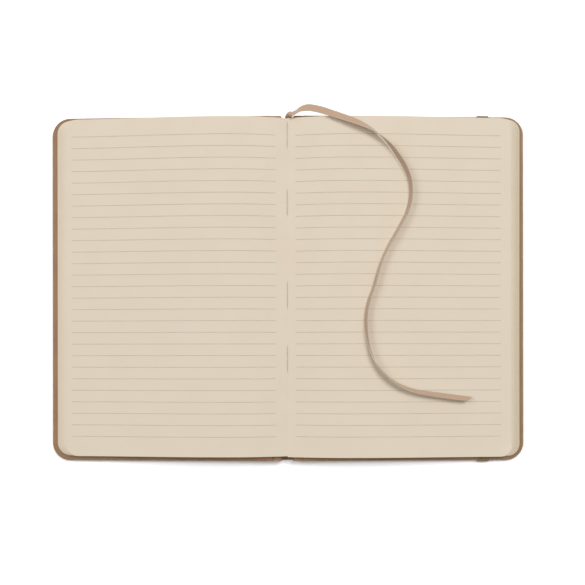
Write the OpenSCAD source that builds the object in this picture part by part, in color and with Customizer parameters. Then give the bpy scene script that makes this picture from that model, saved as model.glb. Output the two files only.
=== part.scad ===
// Hardcover ruled notebook lying open in the middle, with a ribbon bookmark and an elastic closure.
// X runs across the open book with the back cover at +X, Y runs up the spine to the head, Z is up.
// The origin is on the table, under the middle of the spine.

/* [Cover] */
// Height of the cover from head to tail
cover_h = 210; // [150:1:300]
// Width of one board from its inner edge to its fore edge
board_w = 135; // [90:1:200]
// Thickness of the grey board
board_t = 1.7; // [1.2:0.1:3]
// Thickness of the covering material
skin_t = 0.3; // [0.2:0.05:0.6]
// Width of the covering material turned over the board's edges
turn_in = 13; // [8:1:20]
// Radius of the cover's corners
cover_r = 11; // [5:0.5:16]
// Height of the board's inner edge above the table
board_lift = 5.5; // [5:0.1:8]

/* [Spine] */
// Distance from the gutter to the boards' inner edges
spine_reach = 9.5; // [8:0.1:14]
// Half width of the spine's flat bottom
spine_half = 3.4; // [3:0.1:6]
// Thickness of the card that stiffens the spine
inlay_t = 0.8; // [0.5:0.1:1]
// Thickness of the gauze glued to the back of the pages
lining_t = 0.3; // [0.2:0.1:0.5]
// Gap that leaves the cover free to fold at its hinge
hinge_gap = 0.8; // [0.6:0.1:1.2]

/* [Pages] */
// How far the cover stands past the pages at the head
head_square = 2.1; // [1:0.1:5]
// How far the cover stands past the pages at the tail
tail_square = 3.4; // [1:0.1:5]
// Distance from the cover's fore edge to the lowest sheet
fore_margin = 3.3; // [2:0.1:6]
// How far the fanned sheets step back from the lowest to the top one
fan = 5.8; // [2:0.1:10]
// Thickness of each half of the pages
stack_t = 4.7; // [3:0.1:7]
// Radius of the pages' corners
page_r = 7.5; // [4:0.5:14]
// Height of the left page at its crest
crest_left = 14.1; // [13:0.1:18]
// Height of the right page at its crest
crest_right = 13.4; // [13:0.1:18]
// Distance from the gutter to the left page's crest
crest_x_left = 35; // [25:1:50]
// Distance from the gutter to the right page's crest
crest_x_right = 38; // [25:1:50]
// Height of the page surface in the gutter
gutter_z = 8.8; // [8.4:0.1:10]
// Thickness of the paper glued inside each cover
pastedown_t = 0.15; // [0.1:0.05:0.3]

/* [Ruling] */
// Distance from one ruled line to the next
line_pitch = 7; // [4:0.5:7]
// Distance from the head of the page to the first line
head_margin = 10.6; // [10:0.1:20]
// Least distance from the last line to the tail of the page
tail_margin = 10; // [10:0.1:20]
// Length of a ruled line
line_len = 124.3; // [60:0.1:125]
// Gap from the gutter to the left page's lines
line_start_left = 7; // [3:0.5:8]
// Gap from the gutter to the right page's lines
line_start_right = 5; // [3:0.5:8]
// Width of a ruled line
line_w = 0.35; // [0.2:0.05:0.6]

/* [Elastic band] */
// Width of the elastic band
band_w = 7; // [4:0.5:12]
// Thickness of the elastic band
band_t = 0.8; // [0.5:0.1:0.9]
// Distance from the cover's fore edge to the middle of the band
band_inset = 25; // [18:1:40]
// Length of the band's ends inside the cover
band_tuck = 12; // [6:1:20]

/* [Sewing and ribbon] */
// Thickness of the sewing thread
thread_d = 0.5; // [0.3:0.1:0.8]
// Length of one stitch in the gutter
stitch_len = 18.5; // [10:0.5:25]
// Width of the ribbon bookmark
ribbon_w = 4.2; // [3:0.1:6]
// Thickness of the ribbon bookmark
ribbon_t = 0.3; // [0.2:0.05:0.4]

/* [Hidden] */

kraft = [0.60, 0.47, 0.36];
greyboard = [0.55, 0.52, 0.48];
cream = [0.88, 0.83, 0.75];
rule_tone = [0.80, 0.74, 0.66];
linen = [0.92, 0.89, 0.82];
band_tone = [0.55, 0.50, 0.43];
ribbon_tone = [0.78, 0.64, 0.53];

// Least gap between pieces that move against each other, and between soft ones that lie together
clearance = 0.3;
seat = 0.1;
// How far a cut runs past the face that it opens
cut = 1;
corner_fn = 96;

// Each board leans on its fore edge, so its inner edge stands board_lift above the table.
tilt = asin(board_lift / board_w);
fore_x = spine_reach + board_w * cos(tilt);
cover_t = 2 * skin_t + board_t;
band_x = board_w - band_inset;
band_sunk = band_t - pastedown_t;

// The spine's covering dives between the boards and lies flat on the table.
wall_lean = 0.5;
spine_top = spine_half + wall_lean;
flange_z = board_lift - 0.2;
flange_x = spine_reach - hinge_gap;

root_z = skin_t + inlay_t + lining_t;
root_half = spine_half - skin_t - seat;

// Where the underside of the pages turns down into the spine
throat_out = 1;
throat_up = 2.5;
low_fore = fore_x - fore_margin;
top_fore = low_fore - fan;
fore_z = 7;
fall_len = 110;
top_steps = 14;
under_steps = 8;
corner_steps = 5;
head_y = cover_h / 2 - head_square;
tail_y = tail_square - cover_h / 2;
page_h = head_y - tail_y;
line_count = floor((page_h - head_margin - tail_margin) / line_pitch) + 1;
rule_t = 0.06;

// Distance from the head to the middle of each stitch along the gutter
stitches = [for (d = [10, 51, 107, 145.5]) if (d < page_h - stitch_len) d];

// The ribbon's route from the head of the spine to its tip: a point, then the way its width points.
ribbon_route = [
    [0.7, 103.7, 5, -1, 0, 0],
    [0.8, 103.6, 7.6, -1, 0, 0],
    [1.1, 104, 9.4, -1, 0.1, -0.1],
    [1.8, 104.4, 10.5, -0.9, 0.2, -0.4],
    [2.8, 104.8, 11.1, -0.7, 0.5, -0.7],
    [4.1, 105.3, 11.4, -0.5, 0.6, -0.8],
    [5.9, 106.2, 11.8, -0.3, 0.6, -0.8],
    [8.5, 107.6, 12.1, -0.1, 0.8, -0.5],
    [13, 108.3, 12.5, 0.1, 1, -0.1],
    [19.9, 106.8, 13.4, 0.3, 1, -0.1],
    [27.6, 103.9, 14.9, 0.3, 0.9, -0.2],
    [35, 101.1, 15.9, 0.3, 0.9, -0.3],
    [42.4, 98.2, 16.4, 0.3, 0.8, -0.5],
    [49.6, 94.8, 16.1, 0.3, 0.5, -0.8],
    [56, 90.3, 16.1, 0.1, 0.1, -1],
    [61.3, 85.3, 15.8, -0.2, -0.1, -1],
    [65.8, 79.4, 15.4, -0.3, -0.2, -0.9],
    [70, 72.9, 15, -0.35, -0.2, -0.9],
    [73.1, 65.9, 14.6, -0.35, -0.1, -0.95],
    [74.1, 59.1, 14.4, -0.35, 0, -0.95],
    [73.7, 52.2, 14.4, -0.35, 0.1, -0.95],
    [71.8, 45.3, 14.5, -0.35, 0.15, -0.95],
    [68.5, 38.7, 14.8, -0.3, 0.15, -0.95],
    [64.6, 31.8, 15.1, -0.3, 0.15, -0.95],
    [60.6, 24.9, 15.4, -0.25, 0.1, -0.95],
    [57, 17.1, 15.5, -0.2, 0.1, -1],
    [54.4, 9.4, 15.7, -0.2, 0.1, -1],
    [52, 1, 15.7, -0.25, 0.1, -1],
    [49.2, -6.7, 15.8, -0.3, 0.1, -0.95],
    [47.4, -14.5, 15.9, -0.3, 0.1, -0.95],
    [47.1, -23.1, 15.9, -0.3, 0.05, -0.95],
    [48.4, -32.4, 16.1, -0.15, 0, -1],
    [51.2, -41.3, 16.2, 0, 0.05, -1],
    [56.1, -49.4, 16.2, 0.15, 0.15, -1],
    [62.5, -55.6, 15.8, 0.2, 0.25, -1],
    [69.9, -59.9, 15.2, 0.2, 0.4, -0.9],
    [77.6, -62.4, 14.4, 0.15, 0.5, -0.8],
    [85.8, -63.8, 13.7, 0.1, 0.6, -0.75],
    [94.9, -65.1, 12.9, 0.1, 0.65, -0.7],
    [103.4, -66.2, 12.4, 0.1, 0.6, -0.7],
    [111.2, -67, 12, 0.1, 0.5, -0.8]
];

// Height of the page surface above the table, x across from the gutter
function crest(x) = x < 0 ? [crest_x_left, crest_left] : [crest_x_right, crest_right];
function page_z(x) = let (s = abs(x), c = crest(x)) s < c[0]
    ? c[1] - (c[1] - gutter_z) * pow(1 - s / c[0], 2)
    : fore_z + (c[1] - fore_z) * (1 + cos(180 * min(1, (s - c[0]) / fall_len))) / 2;

// Height of a board's inner face above the table
function board_z(s) = (fore_x - s) * tan(tilt) + (cover_t + pastedown_t) / cos(tilt);

// Underside of the pages: on the board, or hanging from the arch where the sheets stand clear of it
function under_z(side, s) = max(board_z(s) + clearance, page_z(side * s) - stack_t);

// The page surface is a row of flats, closer together towards the gutter.
function step_s(i, fore) = fore * pow(i / top_steps, 1.25);
function surface_z(x) = let (side = sign(x), s = abs(x)) lookup(s,
    [for (i = [0 : top_steps]) [step_s(i, top_fore), page_z(side * step_s(i, top_fore))]]);

// One half of the pages' section, from the gutter over the top and back under to the spine
function half_section(side, inset) = let (
    top = top_fore - inset,
    low = low_fore - inset,
    start = spine_reach + 0.6,
    low_z = board_z(low) + clearance
) concat(
    [for (i = [1 : top_steps]) [side * step_s(i, top), page_z(side * step_s(i, top))]],
    [for (k = [1 : 3]) let (f = k / 4)
        [side * (top + (low - top) * pow(f, 0.8)), page_z(side * top) * (1 - f) + low_z * f]],
    [for (i = [0 : under_steps]) let (s = low - (low - start) * i / under_steps)
        [side * s, under_z(side, s)]],
    [[side * (spine_top + throat_out), flange_z + throat_up],
     [side * (spine_top - skin_t - seat), flange_z + skin_t + seat],
     [side * root_half, root_z]]
);
function reversed(list) = [for (i = [len(list) - 1 : -1 : 0]) list[i]];
function section(inset) = concat([[0, page_z(0)]], half_section(1, inset),
    reversed(half_section(-1, inset)));

// Distances from the head at which the rounded corners are cut, with how far they cut in there
function corner_cut(d) = d >= page_r ? 0 : page_r - sqrt(page_r * page_r - pow(page_r - d, 2));
corner_at = [for (i = [0 : corner_steps]) page_r * (1 - cos(90 * i / corner_steps))];
stations = concat([for (d = corner_at) [tail_y + d, corner_cut(d)]],
    [for (d = reversed(corner_at)) [head_y - d, corner_cut(d)]]);

// A solid through a row of rings that all have the same number of points. Faces from number turned on
// are split along their other diagonal, so that the two sides of a thin twisted band stay apart.
module loft(rings, turned = 10000) {
    n = len(rings[0]);
    last = len(rings) - 1;
    polyhedron(
        points = [for (ring = rings) each ring],
        faces = concat(
            [[for (i = [0 : n - 1]) i]],
            [for (r = [0 : last - 1], i = [0 : n - 1]) let (j = (i + 1) % n)
                each i < turned
                    ? [[r * n + j, r * n + i, (r + 1) * n + i],
                        [r * n + j, (r + 1) * n + i, (r + 1) * n + j]]
                    : [[r * n + j, r * n + i, (r + 1) * n + j],
                        [r * n + i, (r + 1) * n + i, (r + 1) * n + j]]],
            [[for (i = [n - 1 : -1 : 0]) last * n + i]]
        )
    );
}

module page_block() {
    color(cream)
        loft([for (st = stations) [for (p = section(st[1])) [p[0], st[0], p[1]]]]);
}

// One ruled line that follows the arch of the page
module ruled_line(side, start) {
    inner = [for (i = [1 : top_steps]) let (s = step_s(i, top_fore))
        if (s > start && s < start + line_len) s];
    xs = [for (s = concat([start], inner, [start + line_len])) side * s];
    rotate([90, 0, 0])
        linear_extrude(height = line_w, center = true)
            polygon(concat([for (x = xs) [x, surface_z(x)]],
                [for (x = reversed(xs)) [x, surface_z(x) + rule_t]]));
}

module page_ruling() {
    color(rule_tone)
        for (i = [0 : line_count - 1])
            translate([0, head_y - head_margin - i * line_pitch, 0]) {
                ruled_line(-1, line_start_left);
                ruled_line(1, line_start_right);
            }
}

module sewing_thread() {
    color(linen)
        for (d = stitches)
            translate([0, head_y - d, page_z(0) + thread_d / 2 + seat])
                rotate([90, 0, 0])
                    cylinder(h = stitch_len, d = thread_d, center = true, $fn = 16);
}

module spine_strip(half, thickness, z) {
    translate([-half, tail_y, z])
        cube([2 * half, page_h, thickness]);
}

module spine_lining() {
    color(linen) spine_strip(root_half, lining_t, skin_t + inlay_t);
}

module spine_inlay() {
    color(greyboard) spine_strip(root_half, inlay_t, skin_t);
}

// The covering between the two hinges, folded into a valley whose bottom lies on the table
function spine_side(side) = [
    [side * flange_x, flange_z + skin_t],
    [side * (spine_top - skin_t), flange_z + skin_t],
    [side * (spine_half - skin_t), skin_t]
];
function spine_outer(side) = [
    [side * spine_half, 0],
    [side * spine_top, flange_z],
    [side * flange_x, flange_z]
];

module spine_skin() {
    color(kraft)
        rotate([90, 0, 0])
            linear_extrude(height = cover_h, center = true)
                polygon(concat(spine_side(-1), reversed(spine_side(1)),
                    reversed(spine_outer(1)), spine_outer(-1)));
}

// An outline drawn flat, with its inner edge at x = 0 and its two fore corners rounded
module leaf_outline(w, low, high, radius) {
    translate([0, low]) square([w - radius, high - low]);
    translate([0, low + radius]) square([w, high - low - 2 * radius]);
    for (y = [low + radius, high - radius])
        translate([w - radius, y])
            circle(r = radius, $fn = corner_fn);
}

module cover_outline(inset) {
    leaf_outline(board_w - inset, inset - cover_h / 2, cover_h / 2 - inset, cover_r - inset);
}

// Places what is drawn flat in the leaning cover on one side of the spine
module on_cover(side) {
    mirror([side < 0 ? 1 : 0, 0, 0])
        translate([fore_x, 0, 0])
            rotate([0, tilt, 0])
                translate([-board_w, 0, 0])
                    children();
}

// The sunk seats of the band's two ends in the back cover
module band_seats() {
    for (end = [-1, 1])
        translate([band_x - band_w / 2, end * (cover_h - band_tuck + cut) / 2 - (band_tuck + cut) / 2,
            cover_t - band_sunk])
            cube([band_w, band_tuck + cut, band_sunk + cut]);
}

module board() {
    translate([0, 0, skin_t])
        linear_extrude(height = board_t)
            cover_outline(skin_t);
}

module cover_skin() {
    difference() {
        linear_extrude(height = cover_t) cover_outline(0);
        board();
        translate([-cut, turn_in - cover_h / 2, skin_t])
            cube([board_w - turn_in + cut, cover_h - 2 * turn_in, cover_t]);
    }
}

// The endpaper's glued half: flat over the turned edges and down on the board between them
module pastedown() {
    translate([0, 0, cover_t])
        linear_extrude(height = pastedown_t)
            leaf_outline(board_w - fore_margin, tail_y, head_y, page_r);
    translate([0, turn_in - cover_h / 2, skin_t + board_t])
        cube([board_w - turn_in, cover_h - 2 * turn_in, skin_t]);
}

module front_board() {
    color(greyboard) on_cover(-1) board();
}

module front_cover_skin() {
    color(kraft) on_cover(-1) cover_skin();
}

module front_pastedown() {
    color(cream) on_cover(-1) pastedown();
}

module back_board() {
    color(greyboard) on_cover(1) difference() {
        board();
        band_seats();
    }
}

module back_cover_skin() {
    color(kraft) on_cover(1) difference() {
        cover_skin();
        band_seats();
    }
}

module back_pastedown() {
    color(cream) on_cover(1) difference() {
        pastedown();
        band_seats();
    }
}

// The band runs down the outside of the back cover and round its head and tail edges.
module elastic_band() {
    top = cover_t + pastedown_t;
    color(band_tone) on_cover(1)
        translate([band_x, 0, 0])
            rotate([90, 0, 90])
                linear_extrude(height = band_w, center = true)
                    difference() {
                        translate([-cover_h / 2 - band_t, -band_t])
                            square([cover_h + 2 * band_t, top + band_t]);
                        translate([-cover_h / 2, 0])
                            square([cover_h, cover_t - band_sunk]);
                        translate([band_tuck - cover_h / 2, 0])
                            square([cover_h - 2 * band_tuck, top + cut]);
                    }
}

function unit(v) = v / norm(v);
function place(q) = [q[0], q[1], q[2]];
function along(i) = unit(place(ribbon_route[min(i + 1, len(ribbon_route) - 1)])
    - place(ribbon_route[max(i - 1, 0)]));
function across(i) = let (q = ribbon_route[i], u = [q[3], q[4], q[5]], t = along(i))
    unit(u - (u * t) * t);

// The ribbon's section: a flat band with eased edges
ribbon_section = [
    for (p = [[1, -0.4], [1, 0.4], [0.6, 1], [-0.6, 1], [-1, 0.4], [-1, -0.4], [-0.6, -1], [0.6, -1]])
        [p[0] * ribbon_w / 2, p[1] * ribbon_t / 2]
];

module ribbon_bookmark() {
    color(ribbon_tone)
        loft([for (i = [0 : len(ribbon_route) - 1])
            let (w = across(i), n = cross(along(i), w))
            [for (p = ribbon_section) place(ribbon_route[i]) + p[0] * w + p[1] * n]], turned = 4);
}

page_block();
page_ruling();
sewing_thread();
spine_lining();
spine_inlay();
spine_skin();
front_board();
front_cover_skin();
front_pastedown();
back_board();
back_cover_skin();
back_pastedown();
elastic_band();
ribbon_bookmark();
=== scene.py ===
"""An open hardcover ruled notebook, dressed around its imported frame.

The camera and the ribbon come first, then the sheets, the ruling, the sewing, the covers and the
elastic band. Sizes are in millimetres here and become metres when a mesh is built.
"""

from __future__ import annotations

import logging
import math
from collections.abc import Sequence
from dataclasses import dataclass
from enum import Enum

import bpy
import numpy as np
from mathutils import Matrix, Vector

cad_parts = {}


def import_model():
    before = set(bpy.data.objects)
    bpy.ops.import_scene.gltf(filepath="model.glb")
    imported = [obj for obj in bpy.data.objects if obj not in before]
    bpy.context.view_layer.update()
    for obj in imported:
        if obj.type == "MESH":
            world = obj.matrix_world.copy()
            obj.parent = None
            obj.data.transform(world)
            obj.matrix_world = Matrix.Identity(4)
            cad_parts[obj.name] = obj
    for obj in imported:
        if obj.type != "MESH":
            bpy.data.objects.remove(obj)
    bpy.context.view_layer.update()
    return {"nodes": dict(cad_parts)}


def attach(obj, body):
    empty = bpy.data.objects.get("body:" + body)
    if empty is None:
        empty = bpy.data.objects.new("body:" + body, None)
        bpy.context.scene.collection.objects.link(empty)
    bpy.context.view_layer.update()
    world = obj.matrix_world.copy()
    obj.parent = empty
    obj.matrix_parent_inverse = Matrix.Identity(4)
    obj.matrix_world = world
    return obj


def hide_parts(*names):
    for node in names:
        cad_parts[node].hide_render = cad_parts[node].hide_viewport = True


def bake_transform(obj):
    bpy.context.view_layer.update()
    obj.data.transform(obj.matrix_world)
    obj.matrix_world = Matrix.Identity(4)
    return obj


log = logging.getLogger("notebook")

MM = 0.001
# Faces round a sheet's corner.
CORNER_STEPS = 12
# Points nearer than this many millimetres become one.
MERGE_GAP = 0.004
# Edges of a thin sheet that are sharper than this many degrees stay crisp.
SHEET_CREASE = 50.0

Points = np.ndarray
Colour = tuple[float, float, float]


class Side(Enum):
    """The two halves of the open book, by the sign of X."""

    FRONT = -1
    BACK = 1

    @property
    def label(self) -> str:
        """The half's name as the pieces use it."""
        return self.name.lower()

    @property
    def cover_body(self) -> str:
        """The body that this half's cover rides on."""
        return f"{self.label}_cover"


def smooth(t: Points) -> Points:
    """Ease a share from 0 to 1 in and out."""
    t = np.clip(t, 0.0, 1.0)
    return t * t * (3.0 - 2.0 * t)


def along_polyline(line: Points, share: Points) -> Points:
    """Find points at shares of a line's length.

    Args:
        line: The line's points, one row each.
        share: Shares of the length, from 0 to 1.

    Returns:
        One point for each share.
    """
    steps = np.linalg.norm(np.diff(line, axis=0), axis=1)
    at = np.concatenate([[0.0], np.cumsum(steps)])
    want = np.clip(share, 0.0, 1.0) * at[-1]
    return np.stack([np.interp(want, at, line[:, k]) for k in range(line.shape[1])], axis=1)


def line_length(line: Points) -> float:
    """Add up the length of a line of points."""
    return float(np.linalg.norm(np.diff(line, axis=0), axis=1).sum())


def inner_cuts(low: float, high: float, strips: int) -> Points:
    """Space the cuts that part a length into equal strips."""
    return np.linspace(low, high, strips + 1)[1:-1]


def curve_through(points: Points, per_span: int) -> Points:
    """Draw a smooth curve through points, with the same number of steps in each span.

    Args:
        points: The points that the curve passes through.
        per_span: Steps from each point to the next.

    Returns:
        The points of the curve, from the first given point to the last.
    """
    padded = np.vstack([2 * points[0] - points[1], points, 2 * points[-1] - points[-2]])
    out: list[Points] = []
    for i in range(1, len(padded) - 2):
        p0, p1, p2, p3 = padded[i - 1 : i + 3]
        for t in np.arange(per_span) / per_span:
            out.append(
                0.5
                * (
                    2 * p1
                    + (p2 - p0) * t
                    + (2 * p0 - 5 * p1 + 4 * p2 - p3) * t**2
                    + (3 * p1 - p0 - 3 * p2 + p3) * t**3
                )
            )
    out.append(points[-1])
    return np.array(out)


def deselect_all() -> None:
    """Leave object mode's selection empty, because operators act on all that is selected."""
    if bpy.context.object and bpy.context.object.mode != "OBJECT":
        bpy.ops.object.mode_set(mode="OBJECT")
    bpy.ops.object.select_all(action="DESELECT")


def pick(obj: bpy.types.Object) -> None:
    """Select one object alone and make it active.

    Args:
        obj: The object.
    """
    deselect_all()
    obj.select_set(True)
    bpy.context.view_layer.objects.active = obj


def read_points(obj: bpy.types.Object) -> Points:
    """Read a mesh's points.

    Args:
        obj: The mesh object.

    Returns:
        The points in millimetres, one row each.
    """
    flat = np.empty(len(obj.data.vertices) * 3)
    obj.data.vertices.foreach_get("co", flat)
    return flat.reshape(-1, 3) / MM


def write_points(obj: bpy.types.Object, points: Points) -> None:
    """Write a mesh's points, given in millimetres."""
    obj.data.vertices.foreach_set("co", (points * MM).ravel())
    obj.data.update()


def thicken(obj: bpy.types.Object, thickness: float, offset: float) -> None:
    """Give a sheet its thickness and apply it.

    Args:
        obj: The sheet.
        thickness: Its thickness in millimetres.
        offset: -1 grows it under the drawn face, 0 to both sides and 1 above it.
    """
    pick(obj)
    wall = obj.modifiers.new("thickness", "SOLIDIFY")
    wall.thickness = thickness * MM
    wall.offset = offset
    wall.use_even_offset = False
    bpy.ops.object.modifier_apply(modifier=wall.name)


def soften_edges(obj: bpy.types.Object, width: float, segments: int, angle: float = 40.0) -> None:
    """Round a mesh's edges with an applied bevel.

    Args:
        obj: The piece.
        width: The bevel's width in millimetres.
        segments: The number of faces across the bevel.
        angle: Edges sharper than this many degrees are rounded.
    """
    pick(obj)
    bevel = obj.modifiers.new("soft edges", "BEVEL")
    bevel.width = width * MM
    bevel.segments = segments
    bevel.limit_method = "ANGLE"
    bevel.angle_limit = math.radians(angle)
    bpy.ops.object.modifier_apply(modifier=bevel.name)


def frame_flat_faces(obj: bpy.types.Object, width: float) -> None:
    """Inset a panel's large flat faces, so that the shading of its round edges stays at the edge.

    Args:
        obj: The panel, still lying flat.
        width: The inset in millimetres.
    """
    pick(obj)
    bpy.ops.object.mode_set(mode="EDIT")
    bpy.ops.mesh.select_all(action="DESELECT")
    bpy.ops.object.mode_set(mode="OBJECT")
    for face in obj.data.polygons:
        level = abs(face.normal.z) > 0.999
        face.select = level and len(face.vertices) > CORNER_STEPS
    bpy.ops.object.mode_set(mode="EDIT")
    bpy.ops.mesh.select_mode(type="FACE")
    bpy.ops.mesh.inset(thickness=width * MM)
    bpy.ops.object.mode_set(mode="OBJECT")


def shade(obj: bpy.types.Object, angle: float = 35.0) -> None:
    """Shade a piece smooth, apart from edges sharper than an angle in degrees."""
    pick(obj)
    bpy.ops.object.shade_smooth_by_angle(angle=math.radians(angle))


def face_outwards(obj: bpy.types.Object) -> None:
    """Merge doubled points and turn every face of a closed mesh outwards.

    Args:
        obj: The closed mesh.
    """
    pick(obj)
    bpy.ops.object.mode_set(mode="EDIT")
    bpy.ops.mesh.select_all(action="SELECT")
    bpy.ops.mesh.remove_doubles(threshold=MERGE_GAP * MM)
    bpy.ops.mesh.normals_make_consistent(inside=False)
    bpy.ops.object.mode_set(mode="OBJECT")


def join(parts: Sequence[bpy.types.Object], name: str) -> bpy.types.Object:
    """Join objects into one.

    Args:
        parts: The objects, which all become one mesh.
        name: The joined object's name.

    Returns:
        The joined object.
    """
    deselect_all()
    for part in parts:
        part.select_set(True)
    bpy.context.view_layer.objects.active = parts[0]
    if len(parts) > 1:
        bpy.ops.object.join()
    parts[0].name = name
    parts[0].data.name = name
    return parts[0]


def copy_of(obj: bpy.types.Object) -> bpy.types.Object:
    """Copy an object with a mesh of its own.

    Args:
        obj: The pattern.

    Returns:
        The copy.
    """
    twin = obj.copy()
    twin.data = obj.data.copy()
    bpy.context.scene.collection.objects.link(twin)
    return twin


def drop(obj: bpy.types.Object) -> None:
    """Delete a pattern piece once its copies are made.

    Args:
        obj: The pattern.
    """
    mesh = obj.data
    bpy.data.objects.remove(obj)
    bpy.data.meshes.remove(mesh)


def flat_sheet(
    name: str,
    length: float,
    low: float,
    high: float,
    cuts_x: Sequence[float],
    cuts_y: Sequence[float] = (),
    corner: float = 0.0,
) -> bpy.types.Object:
    """Lay a sheet flat, from x = 0 to its length, and cut it into strips that can bend.

    Args:
        name: The object's name.
        length: The sheet's size along X in millimetres.
        low: Its lowest Y.
        high: Its highest Y.
        cuts_x: Where it is cut across X.
        cuts_y: Where it is cut across Y.
        corner: The radius of its two corners at the far end of X.

    Returns:
        The flat sheet.
    """
    deselect_all()
    middle = (length * MM / 2, (low + high) * MM / 2, 0)
    bpy.ops.mesh.primitive_plane_add(size=1, location=middle)
    obj = bpy.context.object
    obj.name = name
    obj.scale = (length * MM, (high - low) * MM, 1)
    bpy.ops.object.transform_apply(location=True, rotation=True, scale=True)
    if corner:
        bpy.ops.object.mode_set(mode="EDIT")
        bpy.ops.mesh.select_mode(type="VERT")
        bpy.ops.mesh.select_all(action="DESELECT")
        bpy.ops.object.mode_set(mode="OBJECT")
        for vertex in obj.data.vertices:
            vertex.select = vertex.co.x > length * MM / 2
        bpy.ops.object.mode_set(mode="EDIT")
        bpy.ops.mesh.bevel(
            offset=corner * MM, segments=CORNER_STEPS, affect="VERTICES", profile=0.5
        )
        bpy.ops.object.mode_set(mode="OBJECT")
    bpy.ops.object.mode_set(mode="EDIT")
    for axis, cuts in ((0, cuts_x), (1, cuts_y)):
        for cut in cuts:
            place, normal = [0.0, 0.0, 0.0], [0.0, 0.0, 0.0]
            place[axis], normal[axis] = cut * MM, 1.0
            bpy.ops.mesh.select_all(action="SELECT")
            bpy.ops.mesh.bisect(plane_co=place, plane_no=normal)
    bpy.ops.mesh.select_all(action="DESELECT")
    bpy.ops.object.mode_set(mode="OBJECT")
    return obj


def bend_along(strip: bpy.types.Object, line: Points, facing: int = 1) -> None:
    """Bend a flat strip so that its section follows a line.

    Args:
        strip: The flat strip, as long along X as the line.
        line: The section's points, as x and z.
        facing: 1, or -1 to mirror the section in X.
    """
    points = read_points(strip)
    at = along_polyline(line, points[:, 0] / line_length(line))
    write_points(strip, np.stack([facing * at[:, 0], points[:, 1], at[:, 1]], 1))


def close_sheet(sheet: bpy.types.Object, thickness: float) -> None:
    """Turn a bent sheet into a closed, smooth piece.

    Args:
        sheet: The bent sheet.
        thickness: Its thickness in millimetres, half to each side.
    """
    thicken(sheet, thickness, 0.0)
    face_outwards(sheet)
    shade(sheet, SHEET_CREASE)


@dataclass(frozen=True)
class Build:
    """The notebook's driving sizes in millimetres, as its frame holds them."""

    cover_h: float = 210.0
    board_w: float = 135.0
    cover_t: float = 2.3
    cover_r: float = 11.0
    skin_t: float = 0.3
    board_lift: float = 5.5
    flange_drop: float = 0.2
    spine_reach: float = 9.5
    spine_half: float = 3.4
    hinge_gap: float = 0.8
    head_square: float = 2.1
    tail_square: float = 3.4
    fore_margin: float = 3.3
    fan: float = 5.8
    stack_t: float = 4.7
    pastedown_t: float = 0.15
    clearance: float = 0.3
    root_z: float = 1.4
    root_half: float = 3.0
    crest_front: float = 14.1
    crest_back: float = 13.4
    crest_x_front: float = 35.0
    crest_x_back: float = 38.0
    gutter_z: float = 8.8
    fore_z: float = 7.0
    fall_len: float = 110.0

    @property
    def tilt(self) -> float:
        """How far each board leans, in radians."""
        return math.asin(self.board_lift / self.board_w)

    @property
    def fore_x(self) -> float:
        """Distance from the gutter to the cover's fore edge."""
        return self.spine_reach + self.board_w * math.cos(self.tilt)

    @property
    def head_y(self) -> float:
        """Y of the pages' head."""
        return self.cover_h / 2 - self.head_square

    @property
    def tail_y(self) -> float:
        """Y of the pages' tail."""
        return self.tail_square - self.cover_h / 2

    @property
    def low_fore(self) -> float:
        """Distance from the gutter to the lowest sheet's fore edge."""
        return self.fore_x - self.fore_margin

    @property
    def top_fore(self) -> float:
        """Distance from the gutter to the top sheet's fore edge."""
        return self.low_fore - self.fan

    @property
    def flange_z(self) -> float:
        """Height of the spine covering's underside beside the hinge."""
        return self.board_lift - self.flange_drop

    @property
    def hinge_x(self) -> float:
        """Distance from the gutter to each hinge's line."""
        return self.spine_reach - self.hinge_gap / 2

    def crest(self, side: Side) -> tuple[float, float]:
        """Find the highest place of a page.

        Args:
            side: The half of the book.

        Returns:
            The crest's distance from the gutter and its height.
        """
        if side is Side.FRONT:
            return self.crest_x_front, self.crest_front
        return self.crest_x_back, self.crest_back

    def page_z(self, side: Side, s: Points) -> Points:
        """Give the page surface's height.

        Args:
            side: The half of the book.
            s: Distances from the gutter.

        Returns:
            One height for each distance.
        """
        at, high = self.crest(side)
        rise = high - (high - self.gutter_z) * (1 - np.minimum(s, at) / at) ** 2
        turn = np.pi * np.clip((s - at) / self.fall_len, 0, 1)
        fall = self.fore_z + (high - self.fore_z) * (1 + np.cos(turn)) / 2
        return np.where(s < at, rise, fall)

    def board_z(self, s: Points) -> Points:
        """Give the height of the board's inner face at distances from the gutter."""
        thick = (self.cover_t + self.pastedown_t) / math.cos(self.tilt)
        return (self.fore_x - s) * math.tan(self.tilt) + thick

    def under_z(self, side: Side, s: Points) -> Points:
        """Give the underside of the sheets at distances from the gutter."""
        hung = self.page_z(side, s) - self.stack_t
        return np.maximum(self.board_z(s) + self.clearance, hung)

    def cover_matrix(self, side: Side) -> Matrix:
        """Place what is drawn flat in a cover, with its inner edge at x = 0.

        Args:
            side: The half of the book.

        Returns:
            The matrix, for points in metres.
        """
        mirror = Matrix.Scale(side.value, 4, (1, 0, 0))
        out = Matrix.Translation((self.fore_x * MM, 0, 0))
        lean = Matrix.Rotation(self.tilt, 4, "Y")
        back = Matrix.Translation((-self.board_w * MM, 0, 0))
        return mirror @ out @ lean @ back


BUILD = Build()


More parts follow.
